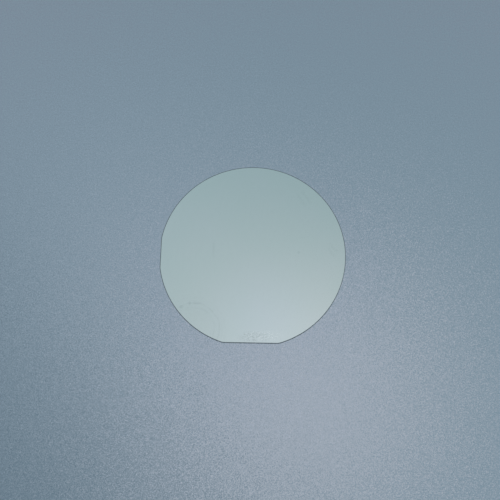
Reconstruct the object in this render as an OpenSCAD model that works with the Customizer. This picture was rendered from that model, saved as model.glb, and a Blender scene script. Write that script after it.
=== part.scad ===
// Silicon wafer, two inches across: one slice of single-crystal silicon with two flats.
// It lies on its etched back with the polished front up. The axis of the disc is Z, the back
// is at z = 0 and the primary flat faces -Y. A quarter turn on, the secondary flat faces -X.

/* [Disc] */
// Diameter across the round edge
diameter = 50.8; // [48:0.1:78]
// Thickness from the back to the front
thickness = 0.279; // [0.26:0.001:0.5]

/* [Flats] */
// Length of the primary flat, as a chord of the round edge
primary_flat_length = 14.8; // [12:0.1:18]
// Length of the secondary flat, as a chord of the round edge
secondary_flat_length = 8.4; // [6:0.1:10]
// Turn from the primary flat to the secondary flat, clockwise as seen from the front
secondary_flat_turn = 90; // [45, 90, 135, 180]
// Radius, seen from the front, of the corners where a flat runs into the round edge
corner_radius = 4; // [2:0.5:6]

/* [Ground edge] */
// Width of the ground bevel on each face, in from the outermost edge
bevel_width = 0.18; // [0.1:0.01:0.2]
// Slope of the bevel to the face
bevel_angle = 22; // [15:1:24]
// Radius that blends each bevel into the upright land between them
nose_radius = 0.05; // [0.02:0.005:0.055]

/* [Hidden] */

silicon = [0.62, 0.71, 0.73];

radius = diameter / 2;

// An arc that blends two faces doesn't just touch them: it crosses each at this small angle,
// so that every crossing is a clean line
crossing = 2;
// How far inside the two faces the centre of such an arc lies
corner_inset = corner_radius * cos(crossing);
blend_inset = nose_radius * cos(crossing);

// How far the blank is larger than the wafer all round, and how far the grinding groove runs
// past what it cuts, so that no two faces of the blank and the groove fall together
overrun = 0.2;
// How far the groove reaches outwards: past the blank, also where a flat lies deepest
groove_reach = 2 * overrun + radius - flat_distance(max(primary_flat_length, secondary_flat_length));

// Centres of the two nose blends, in the edge's own section: X is measured outwards from the
// outermost edge, and Y upwards from the back
low_blend = [-blend_inset, bevel_width * tan(bevel_angle) + blend_inset * tan((90 - bevel_angle) / 2)];
high_blend = [-blend_inset, thickness - low_blend.y];
// From a blend's centre, square to the low bevel, to the high bevel and to the land
to_low_bevel = blend_inset * [sin(bevel_angle), -cos(bevel_angle)];
to_high_bevel = blend_inset * [sin(bevel_angle), cos(bevel_angle)];
to_land = [blend_inset, 0];

round_facets = 360;
blend_facets = 48;

// Distance from the axis to a flat that is a chord of this length
function flat_distance(length) = sqrt(radius ^ 2 - (length / 2) ^ 2);

// What grinding takes away outside the edge: two bevels, two blends and the land between them
module groove() {
    bevel_end = -bevel_width - overrun / tan(bevel_angle);
    difference() {
        polygon([
            [groove_reach, -overrun],
            [bevel_end, -overrun],
            low_blend + to_low_bevel,
            low_blend + to_land,
            high_blend + to_land,
            high_blend + to_high_bevel,
            [bevel_end, thickness + overrun],
            [groove_reach, thickness + overrun]
        ]);
        for (centre = [low_blend, high_blend])
            translate(centre) circle(r = nose_radius, $fn = blend_facets);
    }
}

// The groove run once round the disc
module round_edge() {
    rotate_extrude($fn = round_facets) translate([radius, 0]) groove();
}

// The groove run round one corner. Its arc is centred on the line from the axis at
// centre_angle, and it turns from there to the flat's own direction, +Y.
module corner_edge(centre_distance, centre_angle) {
    rotate(centre_angle)
        translate([centre_distance, 0, 0])
            rotate_extrude(angle = 90 - centre_angle, $fn = round_facets)
                translate([corner_radius, 0]) groove();
}

// The groove run along a flat that faces +Y, and round the corner at each end of it
module flat_edge(length) {
    distance = flat_distance(length);
    centre_distance = radius - corner_inset;
    centre_height = distance - corner_inset;
    translate([0, distance, 0])
        rotate([90, 0, 90])
            linear_extrude(diameter, center = true) groove();
    for (side = [0, 1])
        mirror([side, 0, 0])
            corner_edge(centre_distance, asin(centre_height / centre_distance));
}

// The whole wafer: a round blank with its edge ground to the same section all the way round
module wafer() {
    color(silicon)
        difference() {
            cylinder(r = radius + overrun, h = thickness, $fn = round_facets);
            round_edge();
            rotate(180) flat_edge(primary_flat_length);
            rotate(180 - secondary_flat_turn) flat_edge(secondary_flat_length);
        }
}

wafer();
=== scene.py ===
# %% [markdown]
# # A polished silicon wafer
# A wafer is a thin disc sliced from a single crystal of silicon. Its rim is ground to a blunt edge so
# that it doesn't chip, its front is polished until it is a mirror, and its back is only etched, which
# leaves it satin. Two straight flats are ground into the rim: the long one shows how the crystal's
# atoms lie, and the place of the short one beside it shows whether the silicon is n-type or p-type.
#
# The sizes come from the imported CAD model, which is loaded first and never changed. The object here
# is a finer mesh of the same body, with a finish for each of its three kinds of surface.

# %% Load the fixed frame
import math

import bmesh
import bpy
from mathutils import Matrix, Vector


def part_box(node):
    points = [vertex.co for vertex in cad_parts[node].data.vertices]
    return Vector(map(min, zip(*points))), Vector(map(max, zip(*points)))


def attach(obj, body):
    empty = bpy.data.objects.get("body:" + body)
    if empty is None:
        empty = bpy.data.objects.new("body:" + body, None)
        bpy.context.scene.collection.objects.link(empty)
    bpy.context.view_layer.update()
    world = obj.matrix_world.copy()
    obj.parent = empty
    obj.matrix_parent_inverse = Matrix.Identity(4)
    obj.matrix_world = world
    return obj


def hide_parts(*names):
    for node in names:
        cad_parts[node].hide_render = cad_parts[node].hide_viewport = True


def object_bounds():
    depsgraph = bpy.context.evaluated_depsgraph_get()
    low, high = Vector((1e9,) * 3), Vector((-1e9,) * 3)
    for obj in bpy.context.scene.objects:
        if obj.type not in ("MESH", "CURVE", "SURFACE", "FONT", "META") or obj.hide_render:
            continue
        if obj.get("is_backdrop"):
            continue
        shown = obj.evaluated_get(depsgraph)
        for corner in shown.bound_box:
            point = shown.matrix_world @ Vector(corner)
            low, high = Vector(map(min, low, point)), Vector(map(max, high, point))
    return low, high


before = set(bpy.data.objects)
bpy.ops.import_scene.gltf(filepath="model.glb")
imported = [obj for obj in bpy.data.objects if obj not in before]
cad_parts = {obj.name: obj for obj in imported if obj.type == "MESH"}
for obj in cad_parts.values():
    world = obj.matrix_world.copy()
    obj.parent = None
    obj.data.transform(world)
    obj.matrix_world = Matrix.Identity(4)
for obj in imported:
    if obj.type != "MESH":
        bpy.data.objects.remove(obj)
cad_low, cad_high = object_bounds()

# %% [markdown]
# ## Sizes
# Blender works in metres, and a wafer is measured in millimetres and microns, so two named units keep
# the numbers readable. What the CAD model's box can tell is read from it: the thickness is the height
# of the box, each flat is a side of it, and the round rim touches the other two sides. Taking the
# smaller of those two keeps the finer mesh inside the CAD model.
#
# A box can't tell how a corner is rounded or how an edge is ground, so those four sizes repeat the
# values that the CAD model was made with.

# %% Read the driving sizes from the frame
MM = 0.001
MICRON = 0.001 * MM

wafer_low, wafer_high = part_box("wafer")
thickness = wafer_high.z
disc_radius = min(wafer_high.x, wafer_high.y)
primary_distance = -wafer_low.y
secondary_distance = -wafer_low.x

corner_radius = 4 * MM
bevel_width = 0.18 * MM
bevel_angle = math.radians(22)
nose_radius = 0.05 * MM

for label, size in (("thickness", thickness), ("disc radius", disc_radius),
                    ("primary flat to axis", primary_distance),
                    ("secondary flat to axis", secondary_distance)):
    print(f"{label}: {size / MM:.3f} mm")

# %% [markdown]
# ## The camera
# A camera can be placed by one point and three angles, but then a small change of aim needs new numbers
# for all of them. It is easier to think of a camera on a stand: choose the point to aim at, how far
# away to stand, how far to lean from straight overhead, which way to lean, and how level the camera is.
# Matrices that are multiplied together do these moves one after another, starting from a camera that
# looks straight down at the point.

# %% Place the camera
camera_aim = Vector((-0.66 * MM, 1.27 * MM, 0))
camera_distance = 204.7 * MM
camera_lean = math.radians(15.93)
camera_heading = math.radians(3.71)
camera_roll = math.radians(-2.68)
camera_lens_mm = 54
nearest_seen = 1 * MM
farthest_seen = 100_000 * MM

camera = bpy.data.objects.new("camera", bpy.data.cameras.new("camera"))
camera.data.lens = camera_lens_mm
camera.data.clip_start = nearest_seen
camera.data.clip_end = farthest_seen
camera.matrix_world = (
    Matrix.Translation(camera_aim)
    @ Matrix.Rotation(camera_heading, 4, "Z")
    @ Matrix.Rotation(camera_lean, 4, "X")
    @ Matrix.Rotation(camera_roll, 4, "Z")
    @ Matrix.Translation((0, 0, camera_distance))
)
bpy.context.collection.objects.link(camera)
bpy.context.scene.camera = camera
bpy.context.scene.view_settings.view_transform = "Standard"
print("camera stands at", [round(value / MM, 1) for value in camera.matrix_world.translation], "mm")

# %% [markdown]
# ## Small helpers for node trees
# Geometry Nodes and materials are both trees of nodes, and a script that builds them repeats the same
# two steps: add a node, and feed its inputs. One helper does both, and takes either a plain value or
# another node's output for each input. The sums that come up again and again get helpers of their own,
# so that a formula stays short.

# %% Helpers that add nodes
def feed(tree, socket, value):
    """Give an input socket a link, when the value is another socket, or else a plain value."""
    if isinstance(value, bpy.types.NodeSocket):
        tree.links.new(value, socket)
    else:
        socket.default_value = value


def add(tree, kind, feeds=None, **settings):
    """Add a node of some kind, change its settings, and feed its inputs by name or number."""
    node = tree.nodes.new(kind)
    for name, value in settings.items():
        setattr(node, name, value)
    for name, value in (feeds or {}).items():
        feed(tree, node.inputs[name], value)
    return node


def start_tree(name, kind, takes, gives):
    """A new tree with named inputs and outputs; returns it with its two end nodes."""
    tree = bpy.data.node_groups.new(name, kind)
    for label, socket_kind in takes.items():
        tree.interface.new_socket(label, in_out="INPUT", socket_type="NodeSocket" + socket_kind)
    for label, socket_kind in gives.items():
        tree.interface.new_socket(label, in_out="OUTPUT", socket_type="NodeSocket" + socket_kind)
    return tree, tree.nodes.new("NodeGroupInput"), tree.nodes.new("NodeGroupOutput")


def describe_tree(tree):
    """Print how large a tree is and what goes in and out of it."""
    takes = [item.name for item in tree.interface.items_tree if item.in_out == "INPUT"]
    gives = [item.name for item in tree.interface.items_tree if item.in_out == "OUTPUT"]
    print(f"{tree.name}: {len(tree.nodes)} nodes, takes {', '.join(takes)}, gives {', '.join(gives)}")


# %% Helpers that do sums with nodes
def maths(tree, operation, *values):
    """One sum, as a Math node; its result is a socket that can feed the next one."""
    node = add(tree, "ShaderNodeMath", dict(enumerate(values)), operation=operation)
    return node.outputs[0]


def vector_maths(tree, operation, *values):
    """The same for vectors; a dot product or a length comes out as a number."""
    node = add(tree, "ShaderNodeVectorMath", dict(enumerate(values)), operation=operation)
    is_number = operation in ("DOT_PRODUCT", "LENGTH", "DISTANCE")
    return node.outputs["Value" if is_number else "Vector"]


def scaled(tree, vector, factor):
    """A vector or a colour, multiplied by a number."""
    node = add(tree, "ShaderNodeVectorMath", {0: vector, "Scale": factor}, operation="SCALE")
    return node.outputs["Vector"]


def remap(tree, value, low, high, to_low=0.0, to_high=1.0, kind="LINEAR"):
    """A number from low to high, turned into one from to_low to to_high; it never goes past them."""
    feeds = {"Value": value, "From Min": low, "From Max": high, "To Min": to_low, "To Max": to_high}
    return add(tree, "ShaderNodeMapRange", feeds, interpolation_type=kind).outputs[0]


# %% [markdown]
# ## The outline: how far the rim reaches in each direction
# Seen from above, the rim is a circle with two straight flats, and a small round corner where each
# flat meets the circle. It could be a list of points, but a list has to be made again when a size
# changes. One rule covers it all: for a direction from the axis, how far out is the rim?
#
# - Close to a flat's middle it is the flat's distance divided by the cosine of the turn.
# - Over the corner it follows a small circle that touches both the flat and the disc.
# - Anywhere else it is the disc's own radius.
#
# The rule is a node group, because each flat needs it once. The rim takes the smaller of the answers.

# %% Build the rule for one flat
def build_flat_rule():
    tree, given, result = start_tree(
        "reach of the rim at a flat", "GeometryNodeTree",
        {"Direction": "Vector", "Flat Direction": "Vector", "Disc Radius": "Float",
         "Flat Distance": "Float", "Corner Radius": "Float"},
        {"Reach": "Float"})
    disc = given.outputs["Disc Radius"]
    flat = given.outputs["Flat Distance"]
    corner = given.outputs["Corner Radius"]
    cosine = vector_maths(tree, "DOT_PRODUCT", given.outputs["Direction"], given.outputs["Flat Direction"])
    turn = maths(tree, "ARCCOSINE", cosine)

    # The corner's small circle has its centre at the distance orbit from the axis, and at corner_turn
    # from the flat's middle. It touches the disc there, and the flat at flat_turn.
    orbit = maths(tree, "SUBTRACT", disc, corner)
    orbit_cosine = maths(tree, "DIVIDE", maths(tree, "SUBTRACT", flat, corner), orbit)
    corner_turn = maths(tree, "ARCCOSINE", orbit_cosine)
    corner_side = maths(tree, "MULTIPLY", orbit, maths(tree, "SINE", corner_turn))
    flat_turn = maths(tree, "ARCTAN2", corner_side, flat)

    # A line from the axis in the given direction passes the centre of that circle at the distance
    # off_line, and leaves the circle half a chord farther on.
    lag = maths(tree, "SUBTRACT", corner_turn, turn)
    off_line = maths(tree, "MULTIPLY", orbit, maths(tree, "SINE", lag))
    along_line = maths(tree, "MULTIPLY", orbit, maths(tree, "COSINE", lag))
    corner_square = maths(tree, "POWER", corner, 2.0)
    off_line_square = maths(tree, "POWER", off_line, 2.0)
    half_chord = maths(tree, "SQRT", maths(tree, "SUBTRACT", corner_square, off_line_square))
    on_corner = maths(tree, "ADD", along_line, half_chord)

    on_flat = maths(tree, "DIVIDE", flat, cosine)
    is_over_corner = maths(tree, "LESS_THAN", turn, corner_turn)
    is_over_flat = maths(tree, "LESS_THAN", turn, flat_turn)
    past_flat = add(tree, "GeometryNodeSwitch",
                    {"Switch": is_over_corner, "False": disc, "True": on_corner}, input_type="FLOAT")
    reach = add(tree, "GeometryNodeSwitch",
                {"Switch": is_over_flat, "False": past_flat.outputs[0], "True": on_flat},
                input_type="FLOAT")
    feed(tree, result.inputs["Reach"], reach.outputs[0])
    return tree


flat_rule = build_flat_rule()
describe_tree(flat_rule)

# %% [markdown]
# ## The ground edge and the two faces
# A grinding wheel runs round the rim and leaves the same edge section everywhere: a bevel above, a
# bevel below, and a short upright nose between them. A cylinder with a Bevel modifier could look like
# it, but Curve to Mesh works as the wheel does, with the outline as the path and the section as the
# profile. The section starts as four points, and Fillet Curve rounds the two corners of the nose.
#
# The upper rim of the swept band is then filled, and the fill serves for both faces. The band has the
# finish of the ground edge and the faces have the polished one. When all parts are welded together,
# whatever looks straight down is given the etched finish instead.

# %% The outline, as a curve
def draw_outline(tree, takes, position):
    """A circle of points, each moved in or out to where the flats and the corners put the rim."""
    circle = add(tree, "GeometryNodeCurvePrimitiveCircle",
                 {"Resolution": takes["Outline Points"], "Radius": takes["Disc Radius"]})
    direction = vector_maths(tree, "NORMALIZE", position)
    reaches = []
    for flat_name, flat_direction in (("Primary Flat Distance", (0, -1, 0)),
                                      ("Secondary Flat Distance", (-1, 0, 0))):
        feeds = {"Direction": direction, "Flat Direction": flat_direction,
                 "Disc Radius": takes["Disc Radius"], "Flat Distance": takes[flat_name],
                 "Corner Radius": takes["Corner Radius"]}
        rule = add(tree, "GeometryNodeGroup", feeds, node_tree=flat_rule)
        reaches.append(rule.outputs["Reach"])
    rim_position = scaled(tree, direction, maths(tree, "MINIMUM", *reaches))
    outline = add(tree, "GeometryNodeSetPosition",
                  {"Geometry": circle.outputs[0], "Position": rim_position})
    # With its normals in the plane of the wafer, the curve carries a section upright all the way round.
    return add(tree, "GeometryNodeSetCurveNormal", {"Curve": outline.outputs[0]}, mode="Z_UP")


# %% The section of the edge, as a curve
def draw_section(tree, takes, drop, shoulder):
    """From the front's rim, out to the nose and back in to the back's rim."""
    inner = maths(tree, "MULTIPLY", takes["Bevel Width"], -1.0)
    corners = ((inner, takes["Thickness"]), (0.0, shoulder), (0.0, drop), (inner, 0.0))
    section = add(tree, "GeometryNodeCurvePrimitiveQuadrilateral", mode="POINTS")
    for number, (out, height) in enumerate(corners, 1):
        # A swept section's X axis points away from the disc and its Y axis points down.
        down = maths(tree, "MULTIPLY", height, -1.0)
        point = add(tree, "ShaderNodeCombineXYZ", {"X": out, "Y": down})
        feed(tree, section.inputs[f"Point {number}"], point.outputs[0])
    opened = add(tree, "GeometryNodeSetSplineCyclic", {"Geometry": section.outputs[0], "Cyclic": False})
    return add(tree, "GeometryNodeFilletCurve",
               {"Curve": opened.outputs[0], "Radius": takes["Nose Radius"], "Limit Radius": True,
                "Count": takes["Nose Points"]},
               mode="POLY")


# %% The two faces
faces_at_closed_edge = 2


def fill_faces(tree, takes, band, position, shoulder):
    """Fill the band's upper rim, and make the back and the front from the fill."""
    neighbours = add(tree, "GeometryNodeInputMeshEdgeNeighbors").outputs[0]
    height = add(tree, "ShaderNodeSeparateXYZ", {0: position}).outputs["Z"]
    is_open = maths(tree, "LESS_THAN", neighbours, faces_at_closed_edge)
    is_upper = maths(tree, "GREATER_THAN", height, shoulder)
    upper_rim = add(tree, "GeometryNodeMeshToCurve",
                    {"Mesh": band.outputs[0], "Selection": maths(tree, "MULTIPLY", is_open, is_upper)})
    filled = add(tree, "GeometryNodeFillCurve", {"Curve": upper_rim.outputs[0]}, mode="NGONS")
    level = add(tree, "GeometryNodeSetShadeSmooth",
                {"Geometry": filled.outputs[0], "Shade Smooth": False}, domain="FACE")
    face = add(tree, "GeometryNodeSetMaterial",
               {"Geometry": level.outputs[0], "Material": takes["Front Finish"]})
    # Fill Curve lays its fill at height zero: turned over it is the back, and lifted it is the front.
    back = add(tree, "GeometryNodeFlipFaces", {"Mesh": face.outputs[0]})
    lift = add(tree, "ShaderNodeCombineXYZ", {"Z": takes["Thickness"]})
    front = add(tree, "GeometryNodeTransform",
                {"Geometry": face.outputs[0], "Translation": lift.outputs[0]})
    return back, front


# %% Build the tree that makes the whole wafer
weld_distance = 0.5 * MICRON
# The bevels lean by much more than this, so only the back itself faces down so squarely.
squarely_down = -0.99


def build_wafer_tree():
    tree, given, result = start_tree(
        "wafer with a ground edge", "GeometryNodeTree",
        {"Disc Radius": "Float", "Primary Flat Distance": "Float", "Secondary Flat Distance": "Float",
         "Corner Radius": "Float", "Thickness": "Float", "Bevel Width": "Float", "Bevel Angle": "Float",
         "Nose Radius": "Float", "Outline Points": "Int", "Nose Points": "Int",
         "Front Finish": "Material", "Edge Finish": "Material", "Back Finish": "Material"},
        {"Wafer": "Geometry"})
    takes = given.outputs
    position = add(tree, "GeometryNodeInputPosition").outputs[0]

    outline = draw_outline(tree, takes, position)
    drop = maths(tree, "MULTIPLY", takes["Bevel Width"], maths(tree, "TANGENT", takes["Bevel Angle"]))
    shoulder = maths(tree, "SUBTRACT", takes["Thickness"], drop)
    section = draw_section(tree, takes, drop, shoulder)
    band = add(tree, "GeometryNodeCurveToMesh",
               {"Curve": outline.outputs[0], "Profile Curve": section.outputs[0]})
    edge = add(tree, "GeometryNodeSetMaterial",
               {"Geometry": band.outputs[0], "Material": takes["Edge Finish"]})

    back, front = fill_faces(tree, takes, band, position, shoulder)
    joined = add(tree, "GeometryNodeJoinGeometry")
    for part in (back, front, edge):
        tree.links.new(part.outputs[0], joined.inputs[0])
    welded = add(tree, "GeometryNodeMergeByDistance",
                 {"Geometry": joined.outputs[0], "Distance": weld_distance})
    plain = add(tree, "GeometryNodeRealizeInstances", {"Geometry": welded.outputs[0]})
    facing = add(tree, "ShaderNodeSeparateXYZ", {0: add(tree, "GeometryNodeInputNormal").outputs[0]})
    faces_down = maths(tree, "LESS_THAN", facing.outputs["Z"], squarely_down)
    finished = add(tree, "GeometryNodeSetMaterial",
                   {"Geometry": plain.outputs[0], "Selection": faces_down,
                    "Material": takes["Back Finish"]})
    feed(tree, result.inputs["Wafer"], finished.outputs[0])
    return tree


wafer_tree = build_wafer_tree()
describe_tree(wafer_tree)

# %% [markdown]
# ## Effects that the finishes share
# A finish is more than one colour: the etched back and the ground edge are grainy, the front carries
# stains and dust, and so does the back. An image could show all this, but it has a fixed sharpness and
# has to be wrapped round the piece. Each effect here is one node group that gives a plain number from 0
# to 1 at every point. The materials then decide what that number does, such as darken a colour, blur
# a reflection or raise a bump. All the groups work in millimetres, so their inputs are real sizes.
#
# The first effect is fine grain, as etching, grinding or frosting leaves it. Real grain isn't all of
# one size, so two noises are mixed, one about three times as fine as the other.

# %% Effect: fine grain
finer_by = 3.1
finer_share = 0.4
# Noise seldom strays far from its middle, so this part of its range is stretched to run from 0 to 1.
grain_low, grain_high = 0.3, 0.7


def build_fine_grain():
    """Small random pits and bumps; Grains per mm sets how fine they are."""
    tree, given, result = start_tree("fine grain", "ShaderNodeTree",
                                     {"Place": "Vector", "Grains per mm": "Float"}, {"Grain": "Float"})
    place = given.outputs["Place"]
    fineness = given.outputs["Grains per mm"]
    coarse = add(tree, "ShaderNodeTexNoise", {"Vector": place, "Scale": fineness, "Detail": 2.0})
    finer = add(tree, "ShaderNodeTexNoise",
                {"Vector": place, "Scale": maths(tree, "MULTIPLY", fineness, finer_by), "Detail": 1.0})
    coarse_part = maths(tree, "MULTIPLY", coarse.outputs["Fac"], 1 - finer_share)
    both = maths(tree, "MULTIPLY_ADD", finer.outputs["Fac"], finer_share, coarse_part)
    feed(tree, result.inputs["Grain"], remap(tree, both, grain_low, grain_high))
    return tree


fine_grain = build_fine_grain()
describe_tree(fine_grain)

# %% [markdown]
# Wiping and running water leave long soft marks side by side. Noise does this too when it is looked up
# in a squeezed space: the place is first turned to lie along the marks, and then divided by their
# length one way and by their spacing the other way.

# %% Effect: streaks
streak_low, streak_high = 0.35, 0.65


def build_streaks():
    """Long soft marks side by side, in a direction given as an angle from X."""
    tree, given, result = start_tree(
        "streaks", "ShaderNodeTree",
        {"Place": "Vector", "Direction": "Float", "Spacing": "Float", "Length": "Float"},
        {"Streaks": "Float"})
    turn_back = maths(tree, "MULTIPLY", given.outputs["Direction"], -1.0)
    turned = add(tree, "ShaderNodeVectorRotate",
                 {"Vector": given.outputs["Place"], "Angle": turn_back}, rotation_type="Z_AXIS")
    per_mm = add(tree, "ShaderNodeCombineXYZ",
                 {"X": maths(tree, "DIVIDE", 1.0, given.outputs["Length"]),
                  "Y": maths(tree, "DIVIDE", 1.0, given.outputs["Spacing"])})
    stretched = vector_maths(tree, "MULTIPLY", turned.outputs[0], per_mm.outputs[0])
    noise = add(tree, "ShaderNodeTexNoise", {"Vector": stretched, "Scale": 1.0, "Detail": 1.5})
    marks = remap(tree, noise.outputs["Fac"], streak_low, streak_high)
    feed(tree, result.inputs["Streaks"], marks)
    return tree


streaks = build_streaks()
describe_tree(streaks)

# %% [markdown]
# A stain has a place, a size and a ragged edge. A soft blot measures how far a point lies from the
# stain's middle, with the half size as the unit, and fades from full to nothing on the way out. Noise
# pushes the point about first, which makes the edge ragged.

# %% Effect: a soft blot
ragged_per_mm = 0.9
fade_starts = 0.35
# A random colour lies round this one, so less this one it can point either way.
middle_grey = (0.5, 0.5, 0.5)


def build_blot():
    """One patch with a ragged, faded edge round a chosen point."""
    tree, given, result = start_tree(
        "soft blot", "ShaderNodeTree",
        {"Place": "Vector", "Middle": "Vector", "Half Size": "Vector", "Raggedness": "Float"},
        {"Blot": "Float"})
    warp = add(tree, "ShaderNodeTexNoise",
               {"Vector": given.outputs["Place"], "Scale": ragged_per_mm, "Detail": 2.0})
    shift = vector_maths(tree, "SUBTRACT", warp.outputs["Color"], middle_grey)
    ragged = scaled(tree, shift, given.outputs["Raggedness"])
    near = vector_maths(tree, "SUBTRACT", given.outputs["Place"], given.outputs["Middle"])
    within = vector_maths(tree, "DIVIDE", near, given.outputs["Half Size"])
    reach = vector_maths(tree, "LENGTH", vector_maths(tree, "ADD", within, ragged))
    feed(tree, result.inputs["Blot"], remap(tree, reach, fade_starts, 1.0, 1.0, 0.0, "SMOOTHSTEP"))
    return tree


soft_blot = build_blot()
describe_tree(soft_blot)

# %% [markdown]
# A drop or a cup leaves a line where its rim stood. The ring mark is the same kind of measure as the
# blot, but it is full at one distance from the middle and fades both ways. The line wobbles a little
# and breaks here and there, because a real one is never drawn with compasses. The group also tells
# which points lie inside the ring, for the film that a drop leaves there.

# %% Effect: a ring
wobble_per_mm = 0.35
breaks_per_mm = 0.55
break_low, break_high = 0.38, 0.6


def build_ring():
    """The line that a drop or a cup leaves where its rim stood, and the area inside it."""
    tree, given, result = start_tree(
        "ring mark", "ShaderNodeTree",
        {"Place": "Vector", "Middle": "Vector", "Radius": "Float", "Line Width": "Float",
         "Wobble": "Float", "Breaks": "Float"},
        {"Line": "Float", "Inside": "Float"})
    place = given.outputs["Place"]
    warp = add(tree, "ShaderNodeTexNoise", {"Vector": place, "Scale": wobble_per_mm, "Detail": 2.0})
    off_middle = maths(tree, "SUBTRACT", warp.outputs["Fac"], 0.5)
    wobble = maths(tree, "MULTIPLY", off_middle, given.outputs["Wobble"])
    reach = vector_maths(tree, "DISTANCE", place, given.outputs["Middle"])
    past = maths(tree, "SUBTRACT", maths(tree, "ADD", reach, wobble), given.outputs["Radius"])
    off_line = maths(tree, "DIVIDE", maths(tree, "ABSOLUTE", past), given.outputs["Line Width"])
    line = remap(tree, off_line, 0.0, 1.0, 1.0, 0.0, "SMOOTHSTEP")
    # Where the noise is low the line fades, all the way to nothing when Breaks is 1.
    gaps = add(tree, "ShaderNodeTexNoise", {"Vector": place, "Scale": breaks_per_mm, "Detail": 3.0})
    faded = remap(tree, gaps.outputs["Fac"], break_low, break_high, given.outputs["Breaks"], 0.0)
    kept = maths(tree, "SUBTRACT", 1.0, faded)
    feed(tree, result.inputs["Line"], maths(tree, "MULTIPLY", line, kept))
    feed(tree, result.inputs["Inside"], maths(tree, "LESS_THAN", past, 0.0))
    return tree


ring_mark = build_ring()
describe_tree(ring_mark)

# %% [markdown]
# Dust is many small round specks in no order. A Voronoi pattern scatters one point in each of its cells
# and gives the cell a random colour, so the distance to the point draws the speck, one channel of the
# colour sets its size, and another says whether it is there at all.

# %% Effect: dust
smallest_speck = 0.4
speck_fade_starts = 0.5


def build_dust():
    """Round specks scattered at random: one for each cell at most, and most cells stay empty."""
    tree, given, result = start_tree(
        "dust", "ShaderNodeTree",
        {"Place": "Vector", "Spacing": "Float", "Speck Size": "Float", "Share": "Float"},
        {"Dust": "Float"})
    spacing = given.outputs["Spacing"]
    cells = add(tree, "ShaderNodeTexVoronoi",
                {"Vector": given.outputs["Place"], "Scale": maths(tree, "DIVIDE", 1.0, spacing)})
    chance = add(tree, "ShaderNodeSeparateColor", {0: cells.outputs["Color"]})
    size = maths(tree, "DIVIDE", given.outputs["Speck Size"], spacing)
    own_size = maths(tree, "MULTIPLY", size, maths(tree, "ADD", chance.outputs["Green"], smallest_speck))
    off_middle = maths(tree, "DIVIDE", cells.outputs["Distance"], own_size)
    speck = remap(tree, off_middle, speck_fade_starts, 1.0, 1.0, 0.0, "SMOOTHSTEP")
    is_there = maths(tree, "LESS_THAN", chance.outputs["Red"], given.outputs["Share"])
    feed(tree, result.inputs["Dust"], maths(tree, "MULTIPLY", speck, is_there))
    return tree


dust = build_dust()
describe_tree(dust)

# %% [markdown]
# ## Small helpers for materials
# Every finish here starts the same way, with a metal shader and the place of each point. The place is
# read from the object's own coordinates, so a pattern stays where it is on the piece whatever the mesh
# looks like, and it is turned into millimetres for the effects.

# %% Helpers for materials
# A Mix node has sockets for each kind of value, and these are the numbers of those for colours.
MIX_AMOUNT = 0
MIX_UNDER = 6
MIX_OVER = 7
MIX_RESULT = 2


def start_metal(name):
    """A fully metallic material, with its shader and the place of each point in millimetres."""
    material = bpy.data.materials.new(name)
    material.use_nodes = True
    tree = material.node_tree
    shader = tree.nodes["Principled BSDF"]
    shader.inputs["Metallic"].default_value = 1
    coordinates = add(tree, "ShaderNodeTexCoord")
    in_mm = add(tree, "ShaderNodeMapping",
                {"Vector": coordinates.outputs["Object"], "Scale": (1 / MM, 1 / MM, 1 / MM)})
    return material, tree, shader, in_mm.outputs[0]


def effect(tree, group, **values):
    """Place a group; each keyword is an input, with underscores for spaces."""
    feeds = {name.replace("_", " "): value for name, value in values.items()}
    return add(tree, "ShaderNodeGroup", feeds, node_tree=group).outputs


def blend(tree, amount, under, over):
    """Colours mixed by an amount from 0 to 1."""
    feeds = {MIX_AMOUNT: amount, MIX_UNDER: under, MIX_OVER: over}
    return add(tree, "ShaderNodeMix", feeds, data_type="RGBA").outputs[MIX_RESULT]


def raise_bumps(tree, shader, height, depth, strength):
    """Tilt the shader's normal as if the surface rose by this depth where the height is 1."""
    bump = add(tree, "ShaderNodeBump", {"Strength": strength, "Distance": depth, "Height": height})
    feed(tree, shader.inputs["Normal"], bump.outputs[0])


# %% [markdown]
# ## The polished front
# Silicon is a grey mirror: it sends back a little under half of the light, a touch less red than green
# and blue. Polishing leaves nothing that the eye can see, so the detail on this face is what water and
# hands left on it, apart from painted glints beside the long flat. Every mark is one of the shared
# effects at a place of its own, and comes out as an amount of residue, from 0 for clean silicon to 1 for
# a thick film. Marks that are added up as numbers can overlap, and one colour, one roughness and one
# bump then serve for all of them.
#
# First the largest mark. A drop of rinse water dried at the lower left. It shrank in steps as it dried,
# so it left four faint rings inside each other, broken here and there. Where the water stood longest
# there are two darker dots and a short line. All places and sizes are in millimetres.

# %% Residue of a dried drop
# The height at which the marks on the front have their middles.
mark_height = 0.3
ring_line = 0.42
drop_middle = (-15.4, -20.9, mark_height)
# Each ring: its radius, and how much residue its line holds.
drop_rings = ((7.15, 0.17), (5.8, 0.12), (7.85, 0.08), (8.6, 0.07))
film_radius = 7.2
film_amount = 0.05
# Each dot: its middle, its half size, and how much residue it holds.
drop_dots = (
    ((-18.8, -14.9), (0.9, 0.6), 0.24),
    ((-16.5, -13.9), (0.5, 0.7), 0.24),
    ((-14.6, -13.7), (1.9, 0.5), 0.14),
)


def blot_on_front(tree, place, middle, half_size, raggedness):
    """A soft blot on the front, with its middle and its half size given across the face."""
    blot = effect(tree, soft_blot, Place=place, Middle=(*middle, mark_height),
                  Half_Size=(*half_size, 1), Raggedness=raggedness)
    return blot["Blot"]


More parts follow.
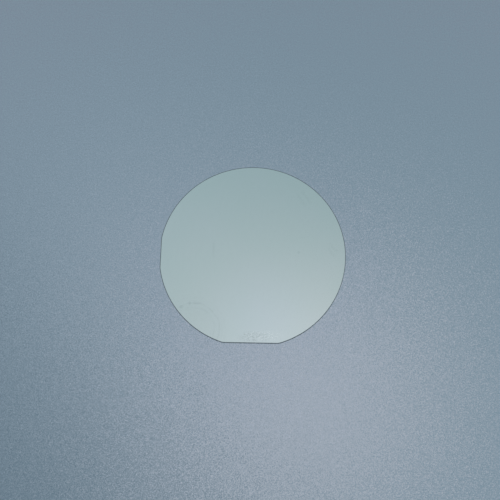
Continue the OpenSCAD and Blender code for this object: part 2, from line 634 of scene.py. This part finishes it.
def dried_drop(tree, place):
    residue = 0.0
    for radius, amount in drop_rings:
        ring = effect(tree, ring_mark, Place=place, Middle=drop_middle, Radius=radius,
                      Line_Width=ring_line, Wobble=1.0, Breaks=0.75)
        residue = maths(tree, "MULTIPLY_ADD", ring["Line"], amount, residue)
    film = effect(tree, ring_mark, Place=place, Middle=drop_middle, Radius=film_radius,
                  Line_Width=ring_line, Wobble=1.0)
    residue = maths(tree, "MULTIPLY_ADD", film["Inside"], film_amount, residue)
    for middle, half_size, amount in drop_dots:
        dot = blot_on_front(tree, place, middle, half_size, 0.4)
        residue = maths(tree, "MULTIPLY_ADD", dot, amount, residue)
    return residue


# %% [markdown]
# A glove that brushes the rim leaves curved strokes side by side. A stroke could be a curve with a
# thickness, but it has no thickness to speak of. Here it is an arc of a large ring, cut to its length
# by a soft blot. One of the two places is at the upper right, the other at the right.

# %% Residue of glove strokes
stroke_width = 0.75
# Each place: the middle that its strokes curve round, their radii, the middle and the half size of the
# area that they keep to, and how much residue they hold.
glove_places = (
    ((23.9, 22.0), (10.9, 12.5), (14.2, 16.4), (2.9, 3.2), 0.13),
    ((24.7, 3.3), (4.1, 2.8), (21.9, 1.5), (2.2, 2.5), 0.12),
)


def glove_strokes(tree, place):
    residue = 0.0
    for arc_middle, radii, area_middle, area_size, amount in glove_places:
        area = blot_on_front(tree, place, area_middle, area_size, 0.4)
        for radius in radii:
            arc = effect(tree, ring_mark, Place=place, Middle=(*arc_middle, mark_height), Radius=radius,
                         Line_Width=stroke_width, Wobble=1.6, Breaks=0.5)
            stroke = maths(tree, "MULTIPLY", arc["Line"], area)
            residue = maths(tree, "MULTIPLY_ADD", stroke, amount, residue)
    return residue


# %% [markdown]
# The rest is small: one run of water left of the middle, one larger speck, a light dust, and streaks
# and a haze so faint that they only keep the mirror from looking like glass.

# %% Residue of runs, specks and haze
def light_soil(tree, place):
    run = blot_on_front(tree, place, (-10.6, 1.4), (0.55, 3.4), 0.2)
    speck = blot_on_front(tree, place, (12.6, 0.7), (0.5, 0.5), 0.2)
    specks = effect(tree, dust, Place=place, Spacing=4.5, Speck_Size=0.16, Share=0.3)
    wiped = effect(tree, streaks, Place=place, Direction=math.radians(80), Spacing=0.9, Length=3.5)
    haze = effect(tree, fine_grain, Place=place, Grains_per_mm=0.6)
    residue = 0.0
    for mask, amount in ((run, 0.1), (speck, 0.22), (specks["Dust"], 0.3),
                         (wiped["Streaks"], 0.02), (haze["Grain"], 0.02)):
        residue = maths(tree, "MULTIPLY_ADD", mask, amount, residue)
    return residue


# %% [markdown]
# Beside the long flat, where tweezers hold a wafer and makers mark it, the polish is speckled: dark
# flecks towards the left and pale specks towards the right, in a strip about three millimetres wide.
# The pale specks are painted glints: a paler colour where light glints off the face. Fine grain gives
# both, and two soft blots say where there are more of them. The grain's high spots become painted
# glints, and its low spots dark flecks.

# %% Dark flecks and painted glints beside the long flat
flecks_and_glints_per_mm = 2.8
dark_strength = 1.8
painted_glint_strength = 1.9


def flecks_and_painted_glints(tree, place):
    grain = effect(tree, fine_grain, Place=place, Grains_per_mm=flecks_and_glints_per_mm)["Grain"]
    above_middle = maths(tree, "SUBTRACT", grain, 0.5)
    left = blot_on_front(tree, place, (0.8, -22.6), (5.4, 2.0), 0.3)
    right = blot_on_front(tree, place, (3.6, -22.2), (6.4, 2.0), 0.3)
    dark = maths(tree, "MULTIPLY", maths(tree, "MULTIPLY", above_middle, left), -dark_strength)
    # The high spots on the right are painted glints, a paler colour in place of light.
    painted_glint = maths(tree, "MULTIPLY", maths(tree, "MULTIPLY", above_middle, right), painted_glint_strength)
    return maths(tree, "MAXIMUM", dark, 0.0), maths(tree, "MAXIMUM", painted_glint, 0.0)


# %% [markdown]
# Now the finish itself. Clean silicon varies a little in tint, in patches more than a centimetre across.
# The residue dulls the colour and spreads the reflection, and its edge stands up from the face by far
# less than a hair's width, which a Bump node turns into glints when the light comes in low.

# %% Finish: polished front
silicon_colour = (0.364, 0.464, 0.470, 1)
silicon_tint = (0.382, 0.464, 0.486, 1)
tint_patches_per_mm = 0.07
residue_colour = (0.265, 0.345, 0.355, 1)
dark_fleck_colour = (0.255, 0.315, 0.325, 1)
# The colour of the painted glints beside the long flat.
painted_glint_colour = (0.50, 0.59, 0.61, 1)
mirror_roughness = 0.045
residue_roughness = 0.25
residue_depth = 1 * MICRON


def build_polished_front():
    material, tree, shader, place = start_metal("polished front")
    patches = add(tree, "ShaderNodeTexNoise",
                  {"Vector": place, "Scale": tint_patches_per_mm, "Detail": 3.0})
    clean = blend(tree, patches.outputs["Fac"], silicon_colour, silicon_tint)

    residue = maths(tree, "ADD", dried_drop(tree, place), glove_strokes(tree, place))
    residue = maths(tree, "ADD", residue, light_soil(tree, place))
    dark_flecks, painted_glints = flecks_and_painted_glints(tree, place)
    stained = blend(tree, residue, clean, residue_colour)
    stained = blend(tree, dark_flecks, stained, dark_fleck_colour)
    # Painted glints: a paler colour stands in for light glinting off the specks.
    feed(tree, shader.inputs["Base Color"], blend(tree, painted_glints, stained, painted_glint_colour))

    soil_and_painted_glints = maths(tree, "ADD", residue, maths(tree, "ADD", dark_flecks, painted_glints))
    roughness = maths(tree, "MULTIPLY_ADD", soil_and_painted_glints, residue_roughness, mirror_roughness)
    feed(tree, shader.inputs["Roughness"], roughness)
    raise_bumps(tree, shader, soil_and_painted_glints, residue_depth, 0.5)
    return material


polished_front = build_polished_front()
print("polished front:", len(polished_front.node_tree.nodes), "nodes")

# %% [markdown]
# ## The ground edge
# The wheel leaves the rim satin and darker than the mirror beside it, with fine lines that run round
# the disc. The colours here are much darker than the mirror: partly that ground finish, and partly
# painted shade for the thin shadow along the rim where the wafer meets the sheet. Lines could be drawn
# along a UV map, but the band would need one, with a seam. Noise that is squeezed along Z and left long
# across gives such lines all the way round, with no seam, because every line on the edge keeps its height.

# %% Finish: ground edge, with painted shade
# Both colours are partly the ground finish's own grey and partly painted shade along the rim.
edge_dark_with_shade = (0.083, 0.107, 0.123, 1)
edge_pale_with_shade = (0.127, 0.156, 0.175, 1)
line_stretch = (0.5, 0.5, 30.0)
line_share = 0.6
edge_roughness = (0.30, 0.40)
line_depth = 2 * MICRON


def build_ground_edge():
    material, tree, shader, place = start_metal("ground edge")
    lines_place = add(tree, "ShaderNodeMapping", {"Vector": place, "Scale": line_stretch}).outputs[0]
    lines = effect(tree, fine_grain, Place=lines_place, Grains_per_mm=4.0)["Grain"]
    pits = effect(tree, fine_grain, Place=place, Grains_per_mm=25.0)["Grain"]
    pits_part = maths(tree, "MULTIPLY", pits, 1 - line_share)
    worn = maths(tree, "MULTIPLY_ADD", lines, line_share, pits_part)
    feed(tree, shader.inputs["Base Color"], blend(tree, worn, edge_dark_with_shade, edge_pale_with_shade))
    feed(tree, shader.inputs["Roughness"], remap(tree, pits, 0.0, 1.0, *edge_roughness))
    raise_bumps(tree, shader, worn, line_depth, 0.6)
    return material


ground_edge = build_ground_edge()
print("ground edge:", len(ground_edge.node_tree.nodes), "nodes")

# %% [markdown]
# ## The etched back
# After slicing and lapping, acid takes off the damaged layer and leaves shallow rounded pits, about a
# tenth of a millimetre across. They make the back satin and a little darker than the front. The pits
# are too many and too shallow to be made as shapes, so fine grain stands for them, as colour, as
# roughness and as bump. A soft cup that lifts wafers by suction has left a faint ring in the middle.

# %% Finish: etched back
back_dark = (0.20, 0.225, 0.235, 1)
back_pale = (0.29, 0.315, 0.325, 1)
handled_colour = (0.16, 0.175, 0.175, 1)
back_roughness = (0.40, 0.52)
pit_depth = 8 * MICRON
cup_middle = (2.0, -1.0, 0)
cup_radius = 6.5


def build_etched_back():
    material, tree, shader, place = start_metal("etched back")
    pits = effect(tree, fine_grain, Place=place, Grains_per_mm=9.0)["Grain"]
    mottle = effect(tree, fine_grain, Place=place, Grains_per_mm=0.5)["Grain"]
    wiped = effect(tree, streaks, Place=place, Direction=math.radians(20), Spacing=0.8, Length=14.0)
    shade = maths(tree, "MULTIPLY_ADD", pits, 0.5, maths(tree, "MULTIPLY", mottle, 0.3))
    shade = maths(tree, "MULTIPLY_ADD", wiped["Streaks"], 0.2, shade)
    etched = blend(tree, shade, back_dark, back_pale)

    cup = effect(tree, ring_mark, Place=place, Middle=cup_middle, Radius=cup_radius, Line_Width=0.9,
                 Wobble=0.4)
    specks = effect(tree, dust, Place=place, Spacing=4.0, Speck_Size=0.2, Share=0.4)
    handled = maths(tree, "MULTIPLY_ADD", cup["Line"], 0.25, maths(tree, "MULTIPLY", specks["Dust"], 0.6))
    feed(tree, shader.inputs["Base Color"], blend(tree, handled, etched, handled_colour))
    feed(tree, shader.inputs["Roughness"], remap(tree, shade, 0.0, 1.0, *back_roughness))
    raise_bumps(tree, shader, pits, pit_depth, 0.5)
    return material


etched_back = build_etched_back()
print("etched back:", len(etched_back.node_tree.nodes), "nodes")

# %% [markdown]
# ## Running the tree
# A modifier carries the tree, and each input is set through its socket's identifier, the name that
# Blender gives it inside. Once every input is set, the evaluated object holds the finished shape.
# The modifier could stay, but a copy of that shape as a plain mesh, with the modifier taken off, is a
# piece that any tool can read.

# %% Make the wafer
outline_points = 720
nose_points = 6


def make_from_tree(name, tree, values):
    """Run a geometry tree with these named inputs and return a plain mesh object."""
    piece = bpy.data.objects.new(name, bpy.data.meshes.new(name))
    bpy.context.collection.objects.link(piece)
    modifier = piece.modifiers.new(tree.name, "NODES")
    modifier.node_group = tree
    for item in tree.interface.items_tree:
        if item.in_out == "INPUT":
            modifier[item.identifier] = values[item.name]
    evaluated = bpy.context.evaluated_depsgraph_get()
    evaluated.update()
    mesh = bpy.data.meshes.new_from_object(piece.evaluated_get(evaluated), depsgraph=evaluated)
    piece.modifiers.remove(modifier)
    piece.data = mesh
    mesh.name = name
    return piece


wafer = make_from_tree("silicon_wafer", wafer_tree, {
    "Disc Radius": disc_radius,
    "Primary Flat Distance": primary_distance,
    "Secondary Flat Distance": secondary_distance,
    "Corner Radius": corner_radius,
    "Thickness": thickness,
    "Bevel Width": bevel_width,
    "Bevel Angle": bevel_angle,
    "Nose Radius": nose_radius,
    "Outline Points": outline_points,
    "Nose Points": nose_points,
    "Front Finish": polished_front,
    "Edge Finish": ground_edge,
    "Back Finish": etched_back,
})


# %% Measure the wafer
def describe_mesh(piece):
    """Print a piece's face count, whether it is closed, and its volume, which is negative inside out."""
    checked = bmesh.new()
    checked.from_mesh(piece.data)
    open_edges = sum(not edge.is_manifold for edge in checked.edges)
    triangles = sum(len(face.verts) - 2 for face in checked.faces)
    volume = checked.calc_volume(signed=True) / MM ** 3
    print(f"{piece.name}: {triangles} triangles, {open_edges} open edges, {volume:.1f} mm3")
    checked.free()


describe_mesh(wafer)
print("materials", [material.name for material in wafer.data.materials])

# %% [markdown]
# ## The floor
# The wafer lies flat on a plain pale sheet of frosted metal, and one large square is enough for it.
# Frosting leaves tiny facets that each lean their own way, so the sheet mirrors the room as a soft
# sheen with a fine sparkle in it.
#
# Facets as real shapes would be millions, and a bump of smooth noise looks embossed, because its
# neighbouring slopes follow each other. A Voronoi pattern gives each of its cells a colour at random,
# and two channels of that colour, less their middle, serve as the facet's lean along X and along Y.

# %% Lay the floor
floor_half = 2000 * MM
sheet_dark = (0.260, 0.320, 0.382, 1)
sheet_pale = (0.292, 0.358, 0.424, 1)
sheet_roughness = 0.12
facets_per_mm = 6.5
facet_lean = 0.14


def build_floor_finish():
    material, tree, shader, place = start_metal("satin sheet")
    grain = effect(tree, fine_grain, Place=place, Grains_per_mm=2.2)["Grain"]
    feed(tree, shader.inputs["Base Color"], blend(tree, grain, sheet_dark, sheet_pale))
    cells = add(tree, "ShaderNodeTexVoronoi", {"Vector": place, "Scale": facets_per_mm})
    leaning = vector_maths(tree, "SUBTRACT", cells.outputs["Color"], middle_grey)
    tilt = vector_maths(tree, "MULTIPLY", leaning, (facet_lean, facet_lean, 0))
    facet_normal = vector_maths(tree, "NORMALIZE", vector_maths(tree, "ADD", tilt, (0, 0, 1)))
    feed(tree, shader.inputs["Normal"], facet_normal)
    shader.inputs["Roughness"].default_value = sheet_roughness
    return material


floor_mesh = bpy.data.meshes.new("floor")
floor_corners = [(x * floor_half, y * floor_half, 0) for x, y in ((-1, -1), (1, -1), (1, 1), (-1, 1))]
floor_mesh.from_pydata(floor_corners, [], [(0, 1, 2, 3)])
floor_mesh.materials.append(build_floor_finish())
floor = bpy.data.objects.new("floor", floor_mesh)
bpy.context.collection.objects.link(floor)
floor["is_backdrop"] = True
print(f"floor: {2 * floor_half:.0f} m wide, facets {1 / facets_per_mm:.2f} mm across")

# %% [markdown]
# ## The light
# A mirror shows whatever it faces, so here the sky does all the work. The wafer lies facing up and is
# seen from a little to one side, so it mirrors a patch of sky close to overhead. A soft warm glow
# there gives the polished face its slow change from bright to dim.
#
# Round the patch the sky is plain. Towards the horizon it is brighter on the near side, -Y, than on the
# far side, and the ceiling gets dimmer towards -X and -Y. Half way down on the +X side, a wide glow
# stands in for a lamp and lights the ground edge there. A real lamp would show as a square with hard
# sides in the wafer, and as glitter in the frosted sheet.
#
# The strength of the world stays at 1, and its colours are chosen so that a grey card in the wafer's
# place comes out close to its own grey. So a finish renders about as its colour is written.

# %% Choose the colours of the sky
overhead_colour = (0.66, 0.78, 0.81, 1)
dim_overhead_colour = (0.45, 0.54, 0.58, 1)
near_colour = (1.38, 1.38, 1.39, 1)
far_colour = (0.57, 0.58, 0.62, 1)
# How high a direction points, from 0 at the horizon to 1 overhead, where the ceiling starts and is full.
ceiling_starts = 0.68
ceiling_is_full = 0.92
# The direction in which the ceiling gets dimmer, and how far along it that starts and ends.
dim_side = (-0.7, -0.7, 0)
dimming_starts = -0.08
dimming_ends = 0.36
# Each glow: degrees from overhead towards +X and towards +Y, its reach in degrees, and its colour.
# The first is the warm one overhead, the next two vary its far side, and the last is the lamp's.
glows = (
    (3.6, 4.2, 11.6, (0.755, 0.504, 0.430)),
    (-11.5, 15.0, 11.0, (0.172, 0.125, 0.125)),
    (0.5, 9.5, 4.2, (0.0, 0.015, 0.09)),
    (52.0, 5.0, 14.0, (0.9, 0.9, 0.9)),
)

# %% Light the world
world = bpy.data.worlds.new("studio")
world.use_nodes = True
bpy.context.scene.world = world


def glow_share(tree, heading, towards_x, towards_y, reach):
    """How much of a glow comes from a heading: 1 at its middle, and fading smoothly round it."""
    slopes = (math.tan(math.radians(towards_x)), math.tan(math.radians(towards_y)), 1)
    middle = Vector(slopes).normalized()
    off_middle = maths(tree, "ARCCOSINE", vector_maths(tree, "DOT_PRODUCT", heading, tuple(middle)))
    square = maths(tree, "POWER", maths(tree, "DIVIDE", off_middle, math.radians(reach)), 2.0)
    return maths(tree, "EXPONENT", maths(tree, "MULTIPLY", square, -1.0))


def light_world(tree):
    heading = vector_maths(tree, "NORMALIZE", add(tree, "ShaderNodeTexCoord").outputs["Generated"])
    along = add(tree, "ShaderNodeSeparateXYZ", {0: heading}).outputs
    to_far_side = maths(tree, "MULTIPLY_ADD", along["Y"], 0.5, 0.5)
    horizon = blend(tree, to_far_side, near_colour, far_colour)
    to_dim_side = vector_maths(tree, "DOT_PRODUCT", heading, dim_side)
    dimmed = remap(tree, to_dim_side, dimming_starts, dimming_ends, kind="SMOOTHSTEP")
    ceiling = blend(tree, dimmed, overhead_colour, dim_overhead_colour)
    overhead = remap(tree, along["Z"], ceiling_starts, ceiling_is_full, kind="SMOOTHSTEP")
    sky = blend(tree, overhead, horizon, ceiling)
    for towards_x, towards_y, reach, colour in glows:
        share = glow_share(tree, heading, towards_x, towards_y, reach)
        sky = vector_maths(tree, "ADD", sky, scaled(tree, colour, share))
    feed(tree, tree.nodes["Background"].inputs["Color"], sky)


light_world(world.node_tree)
print("sky:", len(world.node_tree.nodes), "nodes,", len(glows), "glows")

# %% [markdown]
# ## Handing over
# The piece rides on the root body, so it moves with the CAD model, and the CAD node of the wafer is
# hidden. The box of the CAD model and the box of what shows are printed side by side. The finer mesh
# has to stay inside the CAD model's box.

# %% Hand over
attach(wafer, "root")
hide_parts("wafer")

visual_low, visual_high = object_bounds()
sizes = {"cad": [list(cad_low), list(cad_high)], "visual": [list(visual_low), list(visual_high)]}
for name, box in sizes.items():
    print(name, "box in mm", [[round(value / MM, 4) for value in corner] for corner in box])
